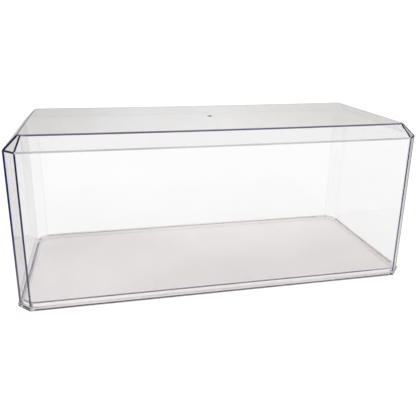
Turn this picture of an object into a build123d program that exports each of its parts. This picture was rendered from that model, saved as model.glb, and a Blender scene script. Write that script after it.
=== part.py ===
from build123d import *
import os
from math import radians, sqrt, tan

# Two-piece moulded display case for a 1:24 scale model: a clear five-sided cover with bevelled
# top edges and chamfered corners, standing on the flange of a clear tray base whose raised
# platform carries the model and locates the cover.
#
# Frame: origin at the centre of the footprint, on the surface that the case stands on.
# +X along the length, +Y to the back, +Z up. Millimetres.

# Driving dimensions of the cover
RIM_LENGTH = 250.0        # outside of the open rim, along X
RIM_WIDTH = 107.4         # outside of the open rim, along Y
TOTAL_HEIGHT = 103.2      # from the table to the top face
COVER_WALL = 1.5
BEVEL = 8.0               # width and height of the 45 degree strip round the top face
DRAFT = 0.8               # how far each wall leans in on its way up to the bevel
CORNER_LEG = 7.2          # leg of the chamfer down each vertical corner
TOP_CORNER_LEG = 2.1      # leg of the small cut at each corner of the top face
GATE_RADIUS = 2.0         # dimple left by the moulding gate, in the middle of the top face
GATE_DEPTH = 0.4

# Driving dimensions of the base
FLANGE_THICKNESS = 2.6    # the cover's rim stands on this flange
FLANGE_OVERHANG = 0.6     # how far the flange stands proud of the rim
PLATFORM_TOP = 5.2        # height of the face that the model stands on
PLATFORM_SHEET = 1.8      # thickness of the platform, which is hollow underneath
PLATFORM_WALL = 1.8       # thickness of the wall round the platform
PLATFORM_CLEARANCE = 0.3  # gap between the platform and the inside of the cover

# Radii left by the mould
COVER_OUTER_RADIUS = 1.5
COVER_INNER_RADIUS = 0.5
BASE_RADIUS = 0.5

# Heights worked out from the driving dimensions
RIM_Z = FLANGE_THICKNESS
SHOULDER_Z = TOTAL_HEIGHT - BEVEL
MITRE = tan(radians(22.5))    # where two faces 45 degrees apart meet, per unit of offset

# Outlines are (length, width, corner leg)
RIM = (RIM_LENGTH, RIM_WIDTH, CORNER_LEG)


def inset(outline, distance):
    """The outline moved in by a distance all round, or out by a negative one."""
    length, width, leg = outline
    return (length - 2.0 * distance, width - 2.0 * distance, leg - (2.0 - sqrt(2.0)) * distance)


def corners(outline, z):
    """The eight corners of an outline at a height, anticlockwise."""
    length, width, leg = outline
    x, y = length / 2.0, width / 2.0
    right = [(x, leg - y), (x, y - leg), (x - leg, y)]
    left = [(leg - x, y), (-x, y - leg), (-x, leg - y), (leg - x, -y)]
    return [Vector(px, py, z) for px, py in right + left + [(x - leg, -y)]]


def stack(*levels):
    """Flat-faced solid through outlines at rising heights, each level (outline, z)."""
    rings = [corners(outline, z) for outline, z in levels]
    faces = [Face(Wire.make_polygon(rings[0])), Face(Wire.make_polygon(rings[-1]))]
    for lower, upper in zip(rings, rings[1:]):
        for i, j in zip(range(8), [*range(1, 8), 0]):
            faces.append(Face(Wire.make_polygon([lower[i], lower[j], upper[j], upper[i]])))
    return Solid(Shell(faces))


def edges_above(solid, z):
    """Edges whose middle is above a height, which leaves out a bottom outline."""
    return solid.edges().filter_by(lambda edge: edge.center().Z > z)


def cover_levels(rim, shoulder, top, shoulder_z, top_z):
    """A cover's body: drafted walls up to the shoulder, then the bevel up to the top face."""
    return stack((rim, RIM_Z), (shoulder, shoulder_z), (top, top_z))


def make_cover():
    """Five-sided cover, open at the bottom: one wall all over, but for the gate's dimple."""
    shoulder = (RIM_LENGTH - 2.0 * DRAFT, RIM_WIDTH - 2.0 * DRAFT, CORNER_LEG)
    top_inset = DRAFT + BEVEL
    top = (RIM_LENGTH - 2.0 * top_inset, RIM_WIDTH - 2.0 * top_inset, TOP_CORNER_LEG)
    outside = cover_levels(RIM, shoulder, top, SHOULDER_Z, TOTAL_HEIGHT)
    inside = cover_levels(
        inset(RIM, COVER_WALL),
        inset(shoulder, COVER_WALL),
        inset(top, COVER_WALL * MITRE),
        SHOULDER_Z - COVER_WALL * MITRE,
        TOTAL_HEIGHT - COVER_WALL,
    )
    outside = fillet(edges_above(outside, RIM_Z + COVER_WALL), COVER_OUTER_RADIUS)
    inside = fillet(edges_above(inside, RIM_Z + COVER_WALL), COVER_INNER_RADIUS)
    gate_sphere = (GATE_RADIUS ** 2 + GATE_DEPTH ** 2) / (2.0 * GATE_DEPTH)
    gate = Pos(0.0, 0.0, TOTAL_HEIGHT - GATE_DEPTH + gate_sphere) * Sphere(gate_sphere)
    return outside - inside - gate


def make_base():
    """Tray base: a flange for the rim round a raised platform that is hollow underneath."""
    flange_outline = inset(RIM, -FLANGE_OVERHANG)
    platform_outline = inset(RIM, COVER_WALL + PLATFORM_CLEARANCE)
    hollow_outline = inset(platform_outline, PLATFORM_WALL)
    hollow_z = PLATFORM_TOP - PLATFORM_SHEET
    flange = stack((flange_outline, 0.0), (flange_outline, FLANGE_THICKNESS))
    flange = fillet(edges_above(flange, FLANGE_THICKNESS * 0.9), BASE_RADIUS)
    platform = stack((platform_outline, 0.0), (platform_outline, PLATFORM_TOP))
    platform = fillet(edges_above(platform, PLATFORM_TOP * 0.9), BASE_RADIUS)
    hollow = stack((hollow_outline, 0.0), (hollow_outline, hollow_z))
    return flange + platform - hollow


def main():
    os.makedirs("parts", exist_ok=True)
    export_step(make_cover(), "parts/cover.step")
    export_step(make_base(), "parts/base.step")


main()
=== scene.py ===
import math

import bmesh
import bpy
from mathutils import Matrix, Vector


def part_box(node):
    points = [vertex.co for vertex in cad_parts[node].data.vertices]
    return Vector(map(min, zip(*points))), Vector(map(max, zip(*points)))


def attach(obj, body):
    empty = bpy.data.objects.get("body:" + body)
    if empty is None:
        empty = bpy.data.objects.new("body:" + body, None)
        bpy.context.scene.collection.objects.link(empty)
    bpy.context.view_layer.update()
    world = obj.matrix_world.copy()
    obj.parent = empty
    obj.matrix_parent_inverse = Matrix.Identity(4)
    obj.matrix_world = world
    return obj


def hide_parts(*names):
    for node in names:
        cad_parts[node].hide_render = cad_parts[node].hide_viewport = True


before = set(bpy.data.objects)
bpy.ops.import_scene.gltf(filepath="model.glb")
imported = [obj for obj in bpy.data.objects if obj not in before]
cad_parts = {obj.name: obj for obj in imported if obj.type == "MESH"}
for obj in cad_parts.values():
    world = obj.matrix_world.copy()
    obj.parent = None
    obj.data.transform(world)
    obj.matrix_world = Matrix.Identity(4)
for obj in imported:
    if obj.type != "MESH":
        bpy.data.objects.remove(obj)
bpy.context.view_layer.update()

# The case: clear moulded plastic, metres. Overall sizes come from the CAD parts in model.glb.
MM = 0.001
COVER_WALL = 1.5 * MM
BEVEL = 8.0 * MM              # width and height of the 45 degree strip round the top face
DRAFT = 0.8 * MM              # how far each wall leans in on its way up to the bevel
CORNER_LEG = 7.2 * MM         # leg of the chamfer down each vertical corner
TOP_CORNER_LEG = 2.1 * MM     # leg of the small cut at each corner of the top face
FLANGE_THICKNESS = 2.6 * MM
FLANGE_OVERHANG = 0.6 * MM
PLATFORM_SHEET = 1.8 * MM
PLATFORM_WALL = 1.8 * MM
PLATFORM_CLEARANCE = 0.3 * MM
GATE_RADIUS = 2.0 * MM        # dimple left by the moulding gate, in the middle of the top face
GATE_DEPTH = 0.4 * MM
COVER_SAG = 0.5 * MM          # how far the middle of the top has sunk
AIR_GAP = 0.03 * MM           # what dust and warp leave between the rim and the flange
MITRE = math.tan(math.radians(22.5))

rim_low, rim_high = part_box("cover")
_, base_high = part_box("base")
RIM = (rim_high.x - rim_low.x, rim_high.y - rim_low.y, CORNER_LEG)
RIM_Z = rim_low.z
TOP_Z = rim_high.z
SHOULDER_Z = TOP_Z - BEVEL
PLATFORM_TOP = base_high.z

# How the edges are rounded: the width of each rounded strip
COVER_OUTER_STRIP = 1.15 * MM
COVER_INNER_STRIP = 0.4 * MM
BASE_STRIP = 0.7 * MM
STRIP_SEGMENTS = 4
SHARP_ANGLE = math.radians(15.0)   # an edge that turns more than this is rounded
EDGE_REACH = 0.65 * MM             # how far from its edge a rounded strip reaches
FACET_NORMAL = 0.3                 # x and y of a normal are both above this on a corner cut
FACE_WEIGHT = 100                  # flat faces shade flat, and only the strips look round

# Flat faces are grids, so that they can carry the slight warp of a moulding
COLUMNS = 24
ROWS = 12
GATE_SIDES = 32
GATE_RINGS = 4

# Material slots of the cover, then of the base
CLEAR, CORNER_CUT, CORNER_EDGE, TOP_EDGE, SHOULDER_EDGE, FACET_EDGE, INNER_EDGE = range(7)
PLATFORM_EDGE, FLANGE_EDGE, HOLLOW_EDGE, FLANGE_CORNER = range(1, 5)

# The clear plastic
WHITE = (1.0, 1.0, 1.0)
BLACK = (0.0, 0.0, 0.0)
PLASTIC_IOR = 1.59
COVER_TINT = (0.99, 0.988, 0.985)
COVER_FLOW = (0.975, 0.97, 0.965)       # its tint in a flow mark
BASE_TINT = (0.96, 0.925, 0.92)
BASE_FLOW = (0.87, 0.835, 0.83)
# The corner cuts are tinted greyer than the walls, as painted shade; the streaks in that tint are flow
# marks
CORNER_SHADE_TINT = (0.92, 0.90, 0.91)
CORNER_SHADE_FLOW = (0.78, 0.74, 0.76)
FLOW_SCALE = (9.0, 9.0, 9.0)
STREAK_SCALE = (700.0, 700.0, 9.0)      # on the corner cuts the marks are streaks that run up
NOISE_SPAN = (0.35, 0.65)               # the middle part of a noise's values
POLISH_SCALE = 60.0
POLISH_DETAIL = 4.0
POLISH_SPAN = (0.45, 0.75)
ROUGHNESS_LOW = 0.005
ROUGHNESS_HIGH = 0.03
WAVE_SCALE = 25.0
WAVE_HEIGHT = 0.2 * MM
WAVE_STRENGTH = 0.1
SKIN_SHADOW = (0.98, 0.978, 0.978)      # what one skin leaves of the light on the floor
COVER_REACH = 0.05                      # how far light gets along inside the plastic
BASE_REACH = 0.20
DEEP_SHADE = (0.03, 0.05, 0.20)          # what is seen in its place: painted shade, as a dark diffuse tone

# Painted shade: a corner cut is deeper where it is seen almost along its face, and more so higher up
CORNER_ASLANT_SHADE_HIGH = (0.02, 0.012, 0.018)
CORNER_ASLANT_SHADE_LOW = (0.40, 0.35, 0.38)
ASLANT_SPAN = (20.0 * MM, 95.0 * MM)    # heights over which the low tone turns to the high one
ASLANT_FROM = 0.5
ASLANT_TO = 0.85
CORNER_WITHIN = (0.94, 0.93, 0.93)      # the cut, met from within the plastic

# Next to a side wall it has a painted dark line of shade, which shows only where the cut is seen at a
# slant
SIDE_LINE = 2.0 * MM                    # width of the line
SIDE_LINE_FADE = 0.4 * MM
SIDE_SHADE_HIGH = (0.002, 0.012, 0.12)
SIDE_SHADE_LOW = (0.12, 0.11, 0.13)
SIDE_SHADE_FACET = (0.012, 0.010, 0.045)   # on the small facet above the shoulder
SIDE_LINE_FROM = 0.36
SIDE_LINE_TO = 0.44
LINE_SPAN = (15.0 * MM, 55.0 * MM)      # heights over which a line's low tone turns to the high one
FACET_SPAN = (SHOULDER_Z - 0.5 * MM, SHOULDER_Z + 1.0 * MM)

# Rounded edges, whose tones are painted shade
CORNER_EDGE_SHADE_HIGH = (0.006, 0.007, 0.045)   # the edges beside the corner cuts
CORNER_EDGE_SHADE_LOW = (0.10, 0.09, 0.12)    # and the same at the case's foot
BODY = 0.97                             # share of an edge's tone, met from outside, over its gloss
BASE_BODY = 0.75                        # and on the edges of the base
EDGE_ROUGHNESS = 0.02
EDGE_CHANGE_SCALE = 22.0
EDGE_ASLANT_FROM = 0.4                  # an edge of the base has less painted shade where it is seen aslant
EDGE_ASLANT_TO = 0.6
EDGE_ASLANT = 0.3
PALE_EDGE = (0.96, 0.955, 0.96)         # tone of any edge met from within the plastic
PALE_STRAIGHT = 0.85                    # share of its light that goes straight through there

# The floor, with painted shade where the plastic mirrors it
FLOOR_HALF = 3.0
FLOOR_DROP = 0.05 * MM
FLOOR_PAINT = (0.92, 0.92, 0.92)
FLOOR_MIRRORED_SHADE = 0.86         # painted shade: the floor as the plastic mirrors it once
FLOOR_LEFT_SHADE = 0.55             # and the same well to the left of the case
LEFT_FROM = -0.13
LEFT_TO = -0.20
FLOOR_TRAPPED_SHADE = 0.85          # painted shade: what is left of it after many turns inside the plastic
TRAPPED_FROM = 3              # how many mirrorings mean that

# The world
BACKGROUND = 1.05             # the sweep, seen direct or through the plastic
FLOOR_LIGHT = 1.2             # what falls on the floor
OVERHEAD = 0.12               # the sweep's strength above its end
SWEEP_TOP = math.sin(math.radians(26.0))
SWEEP_FADE = math.sin(math.radians(42.0))
CLUTTER = 0.14                # how much the room's brightness changes from place to place
CLUTTER_SCALE = 2.5
CLUTTER_DETAIL = 3.0
CLUTTER_SPAN = (0.3, 0.7)

# What the plastic mirrors, by the sine of the height that it comes from
ROOM = (
    (0.0, WHITE),
    (0.08, (0.95, 0.95, 0.95)),
    (0.15, (0.68, 0.67, 0.66)),
    (0.32, (0.72, 0.70, 0.69)),
    (0.38, (0.85, 0.84, 0.83)),
    (0.42, (0.45, 0.44, 0.44)),
    (0.50, (0.12, 0.11, 0.12)),
    (0.80, (0.06, 0.06, 0.07)),
)

# And by how far to the case's right it comes from, as the x of its direction
SIDES_FROM = -0.3
SIDES_TO = 0.7
SIDES = (
    (0.0, (0.80, 0.79, 0.78)),
    (0.22, (0.78, 0.76, 0.75)),
    (0.35, WHITE),
    (0.54, (1.12, 1.12, 1.12)),
    (0.74, (0.80, 0.79, 0.75)),
    (0.82, (0.86, 0.85, 0.79)),
    (1.0, (0.95, 0.94, 0.90)),
)

CAMERA_PLACE = Vector((-0.07105, -0.31549, 0.15894))
CAMERA_HEADING = math.radians(12.403)    # turned from +Y towards +X
CAMERA_PITCH = math.radians(-18.983)
CAMERA_ROLL = math.radians(0.765)
CAMERA_LENS = 41.92
CAMERA_SENSOR = 36.0
CAMERA_SHIFT = (0.0044, -0.0344)
CAMERA_NEAR = 0.01


# ---------------------------------------------------------------- shapes


def inset(outline, distance):
    """The outline (length, width, corner leg) moved in by a distance all round."""
    length, width, leg = outline
    return (length - 2.0 * distance, width - 2.0 * distance, leg - (2.0 - math.sqrt(2.0)) * distance)


def stations(size, leg, count):
    """Places across a side: its two ends, and even steps between the corner cuts."""
    half = size / 2.0
    even = [leg - half + (size - 2.0 * leg) * i / count for i in range(count + 1)]
    return [-half, *even, half]


def grid_lines(outline):
    """The grid's places along the length and along the width of an outline."""
    length, width, leg = outline
    return stations(length, leg, COLUMNS), stations(width, leg, ROWS)


def ring_cells():
    """Grid places (column, row) round the outline, anticlockwise, without the cut corners."""
    right, back = COLUMNS + 2, ROWS + 2
    front_side = [(i, 0) for i in range(1, right)]
    right_side = [(right, j) for j in range(1, back)]
    back_side = [(i, back) for i in range(right - 1, 0, -1)]
    left_side = [(0, j) for j in range(back - 1, 0, -1)]
    return front_side + right_side + back_side + left_side


def ring(bm, outline, z):
    """New vertices round an outline."""
    xs, ys = grid_lines(outline)
    return [bm.verts.new((xs[i], ys[j], z)) for i, j in ring_cells()]


def circle(bm, radius, z):
    """New vertices round the gate."""
    angles = [2.0 * math.pi * k / GATE_SIDES for k in range(GATE_SIDES)]
    return [bm.verts.new((radius * math.cos(a), radius * math.sin(a), z)) for a in angles]


def band(bm, lower, upper):
    """Faces between two loops of as many vertices."""
    count = len(lower)
    for a in range(count):
        b = (a + 1) % count
        bm.faces.new((lower[a], lower[b], upper[b], upper[a]))


def cap(bm, loop, outline, z):
    """A grid of faces that closes a ring. Returns its vertices by grid place."""
    xs, ys = grid_lines(outline)
    places = dict(zip(ring_cells(), loop))
    for i in range(1, COLUMNS + 2):
        for j in range(1, ROWS + 2):
            places[i, j] = bm.verts.new((xs[i], ys[j], z))
    for i in range(COLUMNS + 2):
        for j in range(ROWS + 2):
            cell = [(i, j), (i + 1, j), (i + 1, j + 1), (i, j + 1)]
            bm.faces.new([places[c] for c in cell if c in places])
    return places


def add_dimple(bm, places, z):
    """The shallow round dimple that the moulding gate leaves in the middle of a cap."""
    i, j = COLUMNS // 2 + 1, ROWS // 2 + 1
    around = [(-1, -1), (0, -1), (1, -1), (1, 0), (1, 1), (0, 1), (-1, 1), (-1, 0)]
    frame_loop = [places[i + across, j + along] for across, along in around]
    bmesh.ops.delete(bm, geom=[places[i, j]], context="VERTS")
    sphere = (GATE_RADIUS ** 2 + GATE_DEPTH ** 2) / (2.0 * GATE_DEPTH)
    rim = loop = circle(bm, GATE_RADIUS, z)
    for k in range(GATE_RINGS - 1, 0, -1):
        radius = GATE_RADIUS * k / GATE_RINGS
        lower = circle(bm, radius, z - GATE_DEPTH + sphere - math.sqrt(sphere ** 2 - radius ** 2))
        band(bm, loop, lower)
        loop = lower
    pit = bm.verts.new((0.0, 0.0, z - GATE_DEPTH))
    for a in range(GATE_SIDES):
        bm.faces.new((loop[a], loop[(a + 1) % GATE_SIDES], pit))
    step = GATE_SIDES // len(around)
    start = 5 * GATE_SIDES // len(around)   # the first corner is five eighths of a turn from +X
    for k, corner in enumerate(frame_loop):
        following = frame_loop[(k + 1) % len(around)]
        arc = [rim[(start + k * step + s) % GATE_SIDES] for s in range(step + 1)]
        bm.faces.new([corner, following, *reversed(arc)])


def round_edges(bm, verts, width, slot, keep=()):
    """Rounds the sharp edges that join these vertices, but not those of the loop to keep."""
    chosen, kept = set(verts), set(keep)
    edges = [
        e for e in bm.edges
        if chosen.issuperset(e.verts)
        and not kept.issuperset(e.verts)
        and e.calc_face_angle(0.0) > SHARP_ANGLE
    ]
    bmesh.ops.bevel(
        bm, geom=edges, offset=width, offset_type="WIDTH", segments=STRIP_SEGMENTS,
        profile=0.5, affect="EDGES", clamp_overlap=False, material=slot,
    )


def piece(name, bm, body, node):
    """Turns a closed bmesh into a smooth piece that stands for its CAD node."""
    bmesh.ops.recalc_face_normals(bm, faces=bm.faces)
    mesh = bpy.data.meshes.new(name)
    bm.to_mesh(mesh)
    bm.free()
    mesh.shade_smooth()
    obj = bpy.data.objects.new(name, mesh)
    bpy.context.scene.collection.objects.link(obj)
    normals = obj.modifiers.new("face normals", "WEIGHTED_NORMAL")
    normals.weight = FACE_WEIGHT
    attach(obj, body)
    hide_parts(node)
    return obj


def cover_skin(bm, rim, shoulder, top, shoulder_z, top_z):
    """Walls, bevel and top face of one skin of the cover. Returns its rings, and the top's places."""
    rings = [ring(bm, rim, RIM_Z + AIR_GAP), ring(bm, shoulder, shoulder_z), ring(bm, top, top_z)]
    band(bm, rings[0], rings[1])
    band(bm, rings[1], rings[2])
    return rings, cap(bm, rings[2], top, top_z)


def is_on_corner(face):
    """Whether a face belongs to a corner cut, and not to a wall."""
    return min(abs(face.normal.x), abs(face.normal.y)) > FACET_NORMAL


def sort_cover_strips(bm):
    """Gives each outer strip the slot of its own kind of edge, and the corner cuts their own."""
    for face in bm.faces:
        middle = face.calc_center_median()
        z = middle.z
        if face.material_index == CLEAR and is_on_corner(face) and face.normal.dot(middle) > 0.0:
            face.material_index = CORNER_CUT
        if face.material_index != CORNER_EDGE:
            continue
        if z > TOP_Z - EDGE_REACH:
            face.material_index = TOP_EDGE
        elif z > SHOULDER_Z + EDGE_REACH:
            face.material_index = FACET_EDGE
        elif z > SHOULDER_Z - EDGE_REACH:
            face.material_index = FACET_EDGE if is_on_corner(face) else SHOULDER_EDGE


def make_cover():
    """The five-sided cover: an outer and an inner skin that meet at the open rim."""
    bm = bmesh.new()
    shoulder = (RIM[0] - 2.0 * DRAFT, RIM[1] - 2.0 * DRAFT, CORNER_LEG)
    top_inset = DRAFT + BEVEL
    top = (RIM[0] - 2.0 * top_inset, RIM[1] - 2.0 * top_inset, TOP_CORNER_LEG)
    outer, top_places = cover_skin(bm, RIM, shoulder, top, SHOULDER_Z, TOP_Z)
    add_dimple(bm, top_places, TOP_Z)
    inner, _ = cover_skin(
        bm,
        inset(RIM, COVER_WALL),
        inset(shoulder, COVER_WALL),
        inset(top, COVER_WALL * MITRE),
        SHOULDER_Z - COVER_WALL * MITRE,
        TOP_Z - COVER_WALL,
    )
    band(bm, inner[0], outer[0])
    bmesh.ops.recalc_face_normals(bm, faces=bm.faces)
    inner_verts = [v for loop in inner for v in loop]
    round_edges(bm, inner_verts, COVER_INNER_STRIP, INNER_EDGE, keep=inner[0])
    outer_verts = [v for loop in outer for v in loop]
    round_edges(bm, outer_verts, COVER_OUTER_STRIP, CORNER_EDGE, keep=outer[0])
    sort_cover_strips(bm)
    # The sag fades out towards the ends of the case, and down its walls
    for v in bm.verts:
        across = 1.0 - (2.0 * v.co.x / RIM[0]) ** 2
        height = (v.co.z - RIM_Z) / (TOP_Z - RIM_Z)
        v.co.z -= COVER_SAG * across * height ** 4
    return piece("cover_shell", bm, "cover", "cover")


def make_base():
    """The tray base: flange, raised platform and the hollow under it."""
    bm = bmesh.new()
    flange = inset(RIM, -FLANGE_OVERHANG)
    platform = inset(RIM, COVER_WALL + PLATFORM_CLEARANCE)
    hollow = inset(platform, PLATFORM_WALL)
    hollow_z = PLATFORM_TOP - PLATFORM_SHEET
    foot = ring(bm, flange, 0.0)
    flange_edge = ring(bm, flange, FLANGE_THICKNESS)
    platform_foot = ring(bm, platform, FLANGE_THICKNESS)
    platform_edge = ring(bm, platform, PLATFORM_TOP)
    hollow_mouth = ring(bm, hollow, 0.0)
    hollow_edge = ring(bm, hollow, hollow_z)
    band(bm, foot, flange_edge)
    band(bm, flange_edge, platform_foot)
    band(bm, platform_foot, platform_edge)
    cap(bm, platform_edge, platform, PLATFORM_TOP)
    band(bm, foot, hollow_mouth)
    band(bm, hollow_mouth, hollow_edge)
    cap(bm, hollow_edge, hollow, hollow_z)
    bmesh.ops.recalc_face_normals(bm, faces=bm.faces)
    round_edges(bm, hollow_mouth + hollow_edge, BASE_STRIP, HOLLOW_EDGE, keep=hollow_mouth)
    round_edges(bm, platform_foot + platform_edge, BASE_STRIP, PLATFORM_EDGE, keep=platform_foot)
    round_edges(bm, foot + flange_edge, BASE_STRIP, FLANGE_EDGE)
    for face in bm.faces:
        if face.material_index == FLANGE_EDGE and is_on_corner(face):
            face.material_index = FLANGE_CORNER
    return piece("base_tray", bm, "base", "base")


# ---------------------------------------------------------------- shader nodes


def new_tree(name):
    """A new material with an empty node tree."""
    material = bpy.data.materials.new(name)
    material.use_nodes = True
    material.node_tree.nodes.clear()
    return material, material.node_tree


def connect(tree, socket, value):
    """Links an output to an input, or gives the input a plain value or an opaque colour."""
    if isinstance(value, bpy.types.NodeSocket):
        tree.links.new(value, socket)
    elif socket.type == "RGBA":
        socket.default_value = (*value, 1.0)
    else:
        socket.default_value = value


def node(tree, kind, place, **values):
    """A new shader node, with its inputs set or linked by name."""
    made = tree.nodes.new(kind)
    made.location = place
    for name, value in values.items():
        connect(tree, made.inputs[name.replace("_", " ")], value)
    return made


def calculate(tree, place, operation, first, second):
    """A maths node on two values."""
    made = node(tree, "ShaderNodeMath", place)
    made.operation = operation
    connect(tree, made.inputs[0], first)
    connect(tree, made.inputs[1], second)
    return made.outputs[0]


def map_range(tree, place, value, start, end, first=0.0, last=1.0):
    """Goes from the first value to the last one while the given value goes from start to end."""
    made = node(
        tree, "ShaderNodeMapRange", place,
        Value=value, From_Min=start, From_Max=end, To_Min=first, To_Max=last,
    )
    return made.outputs["Result"]


def mix_colours(tree, place, factor, first, second):
    """A colour mix. Each colour is a plain colour or an output."""
    mix = node(tree, "ShaderNodeMix", place)
    mix.data_type = "RGBA"
    for socket, value in zip((s for s in mix.inputs if s.enabled), (factor, first, second)):
        connect(tree, socket, value)
    return next(s for s in mix.outputs if s.enabled)


def mix_shaders(tree, place, factor, first, second):
    """The second shader over the first one."""
    mix = node(tree, "ShaderNodeMixShader", place, Fac=factor)
    connect(tree, mix.inputs[1], first)
    connect(tree, mix.inputs[2], second)
    return mix.outputs["Shader"]


def diffuse(tree, place, colour):
    return node(tree, "ShaderNodeBsdfDiffuse", place, Color=colour).outputs["BSDF"]


def transparent(tree, place, colour):
    return node(tree, "ShaderNodeBsdfTransparent", place, Color=colour).outputs["BSDF"]


def background(tree, place, colour, strength):
    made = node(tree, "ShaderNodeBackground", place, Color=colour, Strength=strength)
    return made.outputs["Background"]


def coordinates(tree, place, kind="Object"):
    """Where the shaded point is."""
    return node(tree, "ShaderNodeTexCoord", place).outputs[kind]


def axes(tree, place, vector):
    """The outputs X, Y and Z of a vector."""
    return node(tree, "ShaderNodeSeparateXYZ", place, Vector=vector).outputs


def slant(tree, place):
    """0 where a surface is seen square on, up to 1 where it is seen along itself."""
    return node(tree, "ShaderNodeLayerWeight", place).outputs["Facing"]


def met_within(tree, place):
    """1 where a surface is met from within the plastic, and 0 from outside."""
    return node(tree, "ShaderNodeNewGeometry", place).outputs["Backfacing"]


def noise(tree, place, scale, detail=2.0, stretch=(1.0, 1.0, 1.0)):
    """Noise in the object's own coordinates. Scale is in turns per metre, times the stretch."""
    x, y = place
    where = coordinates(tree, (x - 400, y))
    mapping = node(tree, "ShaderNodeMapping", (x - 200, y), Vector=where, Scale=stretch)
    texture = node(
        tree, "ShaderNodeTexNoise", place,
        Vector=mapping.outputs["Vector"], Scale=scale, Detail=detail,
    )
    return texture.outputs["Fac"]


def ramp(tree, place, stops, value):
    """The colours of a colour ramp, from stops (where, colour)."""
    made = node(tree, "ShaderNodeValToRGB", place, Fac=value)
    elements = made.color_ramp.elements
    for where, colour in stops:
        element = elements.new(where)
        element.color = (*colour, 1.0)
    elements.remove(elements[0])
    elements.remove(elements[len(elements) - 1])
    return made.outputs["Color"]


def tone_by_height(tree, place, low, high, span):
    """A low tone that turns to a high one over a span of heights."""
    x, y = place
    height = axes(tree, (x - 400, y), coordinates(tree, (x - 600, y)))["Z"]
    return mix_colours(tree, place, map_range(tree, (x - 200, y), height, *span), low, high)


# ---------------------------------------------------------------- materials


def finish_plastic(tree, surface, reach):
    """Light is lost on its way through the plastic, by the length of that way, and a dark tone of
    painted shade is put in its place. Lamps and bounced light pass it straight, less what its skins
    take."""
    path = node(tree, "ShaderNodeLightPath", (200, 500)).outputs
    way = map_range(tree, (400, 900), path["Ray Length"], 0.0, reach)
    lost = calculate(tree, (600, 800), "MULTIPLY", way, met_within(tree, (200, 800)))
    body = mix_shaders(tree, (800, 700), lost, surface, diffuse(tree, (400, 700), DEEP_SHADE))
    either = calculate(tree, (400, 500), "MAXIMUM", path["Is Shadow Ray"], path["Is Diffuse Ray"])
    clear = transparent(tree, (400, 300), SKIN_SHADOW)
    whole = mix_shaders(tree, (1000, 400), either, body, clear)
    node(tree, "ShaderNodeOutputMaterial", (1200, 400), Surface=whole)


def side_line(tree, place):
    """Where a corner cut is next to a side wall, and a dark line of shade is painted: light that comes
    out there went along that wall.
    """
    x, y = place
    folded = node(tree, "ShaderNodeVectorMath", (x - 600, y))
    folded.operation = "ABSOLUTE"
    connect(tree, folded.inputs[0], coordinates(tree, (x - 800, y)))
    split = axes(tree, (x - 400, y), folded.outputs["Vector"])
    along = calculate(tree, (x - 200, y), "SUBTRACT", split["X"], split["Y"])
    taper = map_range(
        tree, (x - 200, y - 300), split["Z"], SHOULDER_Z, TOP_Z, 0.0, CORNER_LEG - TOP_CORNER_LEG,
    )
    # On a corner cut this grows towards the side wall, and on the facet above it just the same
    level = calculate(tree, (x, y - 300), "ADD", along, taper)
    end = (RIM[0] - RIM[1]) / 2.0 + CORNER_LEG
    fade_from = end - math.sqrt(2.0) * (SIDE_LINE + SIDE_LINE_FADE)
    fade_to = end - math.sqrt(2.0) * SIDE_LINE
    return map_range(tree, place, level, fade_from, fade_to)


def corner_colour(tree, tint):
    """A corner cut's tint, with painted shade: deeper where the face is seen aslant, and more so higher
    up. It is pale where it is met from within the plastic."""
    share = map_range(tree, (-700, 500), slant(tree, (-900, 500)), ASLANT_FROM, ASLANT_TO)
    # painted shade, deeper higher up, shown where the cut is seen aslant
    aslant = tone_by_height(tree, (-500, 700), CORNER_ASLANT_SHADE_LOW, CORNER_ASLANT_SHADE_HIGH, ASLANT_SPAN)
    outer = mix_colours(tree, (-300, 500), share, tint, aslant)
    return mix_colours(tree, (-100, 600), met_within(tree, (-300, 700)), outer, CORNER_WITHIN)


def add_side_line(tree, surface):
    """The painted dark line of shade on a corner cut next to a side wall, where light that went along
    that wall comes out. It shows from outside, and only where the cut is seen at a slant."""
    shows = map_range(tree, (-700, 1200), slant(tree, (-900, 1200)), SIDE_LINE_FROM, SIDE_LINE_TO)
    outside = map_range(tree, (-700, 1400), met_within(tree, (-900, 1400)), 0.0, 1.0, BODY, 0.0)
    line = calculate(tree, (-500, 1500), "MULTIPLY", side_line(tree, (-700, 1600)), shows)
    share = calculate(tree, (-300, 1300), "MULTIPLY", line, outside)
    tone = tone_by_height(tree, (-400, 900), SIDE_SHADE_LOW, SIDE_SHADE_HIGH, LINE_SPAN)
    tone = tone_by_height(tree, (-200, 900), tone, SIDE_SHADE_FACET, FACET_SPAN)
    return mix_shaders(tree, (200, 1000), share, surface, diffuse(tree, (0, 900), tone))


def clear_plastic(name, tint, tint_in_flow, reach, flow_scale=FLOW_SCALE, is_corner=False):
    """Polystyrene sheet: faint flow marks in its tint, slow waves, and a slightly uneven polish. On a
    corner cut it also gets painted shade: a greyer tint, a deeper tone aslant, and a dark line next to
    the side wall.
    """
    material, tree = new_tree(name)
    flow = map_range(tree, (-700, 200), noise(tree, (-900, 200), 1.0, stretch=flow_scale), *NOISE_SPAN)
    colour = mix_colours(tree, (-400, 200), flow, tint, tint_in_flow)
    if is_corner:
        colour = corner_colour(tree, colour)
    polish = noise(tree, (-900, -100), POLISH_SCALE, detail=POLISH_DETAIL)
    roughness = map_range(tree, (-700, -100), polish, *POLISH_SPAN, ROUGHNESS_LOW, ROUGHNESS_HIGH)
    waves = noise(tree, (-900, -400), WAVE_SCALE, detail=0.0)
    bump = node(
        tree, "ShaderNodeBump", (-400, -400),
        Height=waves, Strength=WAVE_STRENGTH, Distance=WAVE_HEIGHT,
    )
    glass = node(
        tree, "ShaderNodeBsdfPrincipled", (0, 0), Base_Color=colour, Roughness=roughness,
        IOR=PLASTIC_IOR, Transmission_Weight=1.0, Normal=bump.outputs["Normal"],
    )
    surface = glass.outputs["BSDF"]
    if is_corner:
        surface = add_side_line(tree, surface)
    finish_plastic(tree, surface, reach)
    return material


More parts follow.
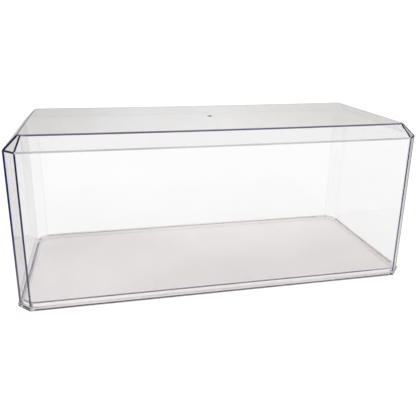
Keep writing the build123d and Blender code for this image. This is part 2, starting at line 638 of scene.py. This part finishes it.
def edge_plastic(name, deep, mild, reach, body=BODY, aslant=1.0, foot=None):
    """The rounded edge of a thick clear moulding. Light that went along inside the walls comes out
    there, shown as a deep tone of painted shade, patchily mild, which may turn to another at the
    case's foot. The tone's share over the gloss is body, and aslant is what is left of that where
    the edge is seen aslant.
    Met from within the plastic, an edge is nearly clear."""
    material, tree = new_tree(name)
    glass = node(
        tree, "ShaderNodeBsdfPrincipled", (0, 0),
        Base_Color=PALE_EDGE, Roughness=EDGE_ROUGHNESS, IOR=PLASTIC_IOR, Transmission_Weight=1.0,
    )
    if foot:
        deep = tone_by_height(tree, (-700, 500), foot, deep, LINE_SPAN)
    patches = map_range(tree, (-700, 200), noise(tree, (-900, 200), EDGE_CHANGE_SCALE), *NOISE_SPAN)
    tone = mix_colours(tree, (-500, 200), patches, deep, mild)
    within = met_within(tree, (-500, 600))
    clear = transparent(tree, (-200, 150), PALE_EDGE)
    skin = mix_shaders(tree, (0, 300), within, diffuse(tree, (-200, 300), tone), clear)
    outer_share = map_range(
        tree, (-400, 800), slant(tree, (-600, 800)),
        EDGE_ASLANT_FROM, EDGE_ASLANT_TO, body, body * aslant,
    )
    share = map_range(tree, (-200, 500), within, 0.0, 1.0, outer_share, PALE_STRAIGHT)
    edge = mix_shaders(tree, (200, 200), share, glass.outputs["BSDF"], skin)
    finish_plastic(tree, edge, reach)
    return material


def add_materials(obj, made):
    """Gives a piece its materials, in the order of its slots."""
    for material in made:
        obj.data.materials.append(material)


def finish_cover(cover):
    reach = COVER_REACH
    # Painted shade: a deep and a mild tone for each kind of rounded edge
    corner, corner_foot, corner_mild = CORNER_EDGE_SHADE_HIGH, CORNER_EDGE_SHADE_LOW, (0.05, 0.05, 0.11)
    top, top_mild = (0.16, 0.12, 0.18), (0.24, 0.20, 0.25)
    shoulder, shoulder_mild = (0.33, 0.32, 0.315), (0.46, 0.44, 0.44)
    facet, facet_mild = (0.008, 0.007, 0.03), (0.04, 0.03, 0.07)
    inner, inner_mild = (0.8, 0.79, 0.81), (0.9, 0.89, 0.9)
    add_materials(cover, (
        clear_plastic("cover_clear", COVER_TINT, COVER_FLOW, reach),
        clear_plastic("cover_corner_cut", CORNER_SHADE_TINT, CORNER_SHADE_FLOW, reach, STREAK_SCALE, is_corner=True),
        edge_plastic("cover_corner_edge", corner, corner_mild, reach, foot=corner_foot),
        edge_plastic("cover_top_edge", top, top_mild, reach, body=0.9),
        edge_plastic("cover_shoulder_edge", shoulder, shoulder_mild, reach, body=0.7),
        edge_plastic("cover_facet_edge", facet, facet_mild, reach),
        edge_plastic("cover_inner_edge", inner, inner_mild, reach, body=0.2),
    ))


def finish_base(base):
    reach = BASE_REACH
    # Painted shade: a deep and a mild tone for each kind of rounded edge
    platform, platform_mild = (0.27, 0.23, 0.30), (0.42, 0.38, 0.44)
    flange, flange_mild = (0.42, 0.36, 0.39), (0.60, 0.54, 0.57)
    hollow, hollow_mild = (0.8, 0.78, 0.81), (0.9, 0.88, 0.9)
    corner, corner_mild = (0.10, 0.07, 0.09), (0.20, 0.16, 0.19)
    add_materials(base, (
        clear_plastic("base_clear", BASE_TINT, BASE_FLOW, reach),
        edge_plastic("base_platform_edge", platform, platform_mild, reach, BASE_BODY, EDGE_ASLANT),
        edge_plastic("base_flange_edge", flange, flange_mild, reach, BASE_BODY, EDGE_ASLANT),
        edge_plastic("base_hollow_edge", hollow, hollow_mild, reach, body=0.3),
        edge_plastic("base_flange_corner", corner, corner_mild, reach, body=0.9),
    ))


# ---------------------------------------------------------------- studio


def make_floor():
    """A pale floor, with painted shade where the plastic mirrors it: less bright, most of all to the
    left of the case, and less again after many turns inside the plastic.
    """
    bpy.ops.mesh.primitive_plane_add(size=2.0 * FLOOR_HALF, location=(0.0, 0.0, -FLOOR_DROP))
    floor = bpy.context.object
    floor.name = "floor"
    material, tree = new_tree("pale_floor")
    depth = node(tree, "ShaderNodeLightPath", (-600, 0)).outputs["Glossy Depth"]
    across = axes(tree, (-800, 200), coordinates(tree, (-1000, 200)))["X"]
    by_side = map_range(tree, (-600, 200), across, LEFT_TO, LEFT_FROM, FLOOR_LEFT_SHADE, FLOOR_MIRRORED_SHADE)
    mirrored = map_range(tree, (-400, 100), depth, 0.0, 1.0, 1.0, by_side)
    trapped = map_range(tree, (-400, -200), depth, 1.0, TRAPPED_FROM, 1.0, FLOOR_TRAPPED_SHADE)
    share = calculate(tree, (-200, 0), "MULTIPLY", mirrored, trapped)
    paint = mix_colours(tree, (0, 0), share, BLACK, FLOOR_PAINT)
    node(tree, "ShaderNodeOutputMaterial", (400, 0), Surface=diffuse(tree, (200, 0), paint))
    floor.data.materials.append(material)


def make_sweep(tree, height):
    """The white sweep as it is seen through the plastic, with an end overhead."""
    end = node(
        tree, "ShaderNodeMapRange", (-700, 500), Value=height,
        From_Min=SWEEP_TOP, From_Max=SWEEP_FADE, To_Min=BACKGROUND, To_Max=OVERHEAD,
    )
    end.interpolation_type = "SMOOTHSTEP"
    return background(tree, (-300, 500), WHITE, end.outputs["Result"])


def make_room(tree, place, direction):
    """The room that the plastic mirrors: white low down, grey above that, and dark overhead."""
    by_height = ramp(tree, (-700, 0), ROOM, direction["Z"])
    across = map_range(tree, (-900, -150), direction["X"], SIDES_FROM, SIDES_TO)
    by_side = ramp(tree, (-700, -150), SIDES, across)
    walls = node(tree, "ShaderNodeVectorMath", (-500, 0))
    walls.operation = "MULTIPLY"
    connect(tree, walls.inputs[0], by_height)
    connect(tree, walls.inputs[1], by_side)
    clutter = node(
        tree, "ShaderNodeTexNoise", (-900, -300),
        Vector=place, Scale=CLUTTER_SCALE, Detail=CLUTTER_DETAIL,
    )
    strength = map_range(
        tree, (-700, -300), clutter.outputs["Fac"], *CLUTTER_SPAN, 1.0 - CLUTTER, 1.0 + CLUTTER,
    )
    return background(tree, (-300, 0), walls.outputs["Vector"], strength)


def make_world():
    """A white sweep all round for what is seen direct or through the plastic, a room for what the
    plastic mirrors, and even light for the floor."""
    world = bpy.data.worlds.new("studio")
    bpy.context.scene.world = world
    world.use_nodes = True
    world.cycles.sampling_method = "NONE"
    tree = world.node_tree
    tree.nodes.clear()
    place = coordinates(tree, (-1200, 0), "Generated")
    direction = axes(tree, (-1000, 0), place)
    sweep = make_sweep(tree, direction["Z"])
    room = make_room(tree, place, direction)
    white = background(tree, (-300, 200), WHITE, BACKGROUND)
    light = background(tree, (-300, 100), WHITE, FLOOR_LIGHT)
    path = node(tree, "ShaderNodeLightPath", (-300, 900)).outputs
    is_mirrored = calculate(tree, (-100, 600), "MINIMUM", path["Glossy Depth"], 1.0)
    plastic = mix_shaders(tree, (100, 300), is_mirrored, sweep, room)
    seen = mix_shaders(tree, (300, 300), path["Is Camera Ray"], plastic, white)
    whole = mix_shaders(tree, (500, 300), path["Is Diffuse Ray"], seen, light)
    node(tree, "ShaderNodeOutputWorld", (700, 300), Surface=whole)


def make_camera():
    data = bpy.data.cameras.new("camera")
    data.lens = CAMERA_LENS
    data.sensor_width = CAMERA_SENSOR
    data.shift_x, data.shift_y = CAMERA_SHIFT
    data.clip_start = CAMERA_NEAR
    camera = bpy.data.objects.new("camera", data)
    bpy.context.scene.collection.objects.link(camera)
    look = Vector((
        math.sin(CAMERA_HEADING) * math.cos(CAMERA_PITCH),
        math.cos(CAMERA_HEADING) * math.cos(CAMERA_PITCH),
        math.sin(CAMERA_PITCH),
    ))
    turn = look.to_track_quat("-Z", "Y").to_matrix() @ Matrix.Rotation(CAMERA_ROLL, 3, "Z")
    camera.matrix_world = Matrix.Translation(CAMERA_PLACE) @ turn.to_4x4()
    bpy.context.scene.camera = camera


def set_light_paths():
    """Enough bounces for light to cross both skins of both pieces, and to go along inside them."""
    scene = bpy.context.scene
    scene.view_settings.view_transform = "Standard"
    scene.cycles.max_bounces = 40
    scene.cycles.transmission_bounces = 32
    scene.cycles.glossy_bounces = 12
    scene.cycles.transparent_max_bounces = 40


finish_cover(make_cover())
finish_base(make_base())
make_floor()
make_world()
make_camera()
set_light_paths()
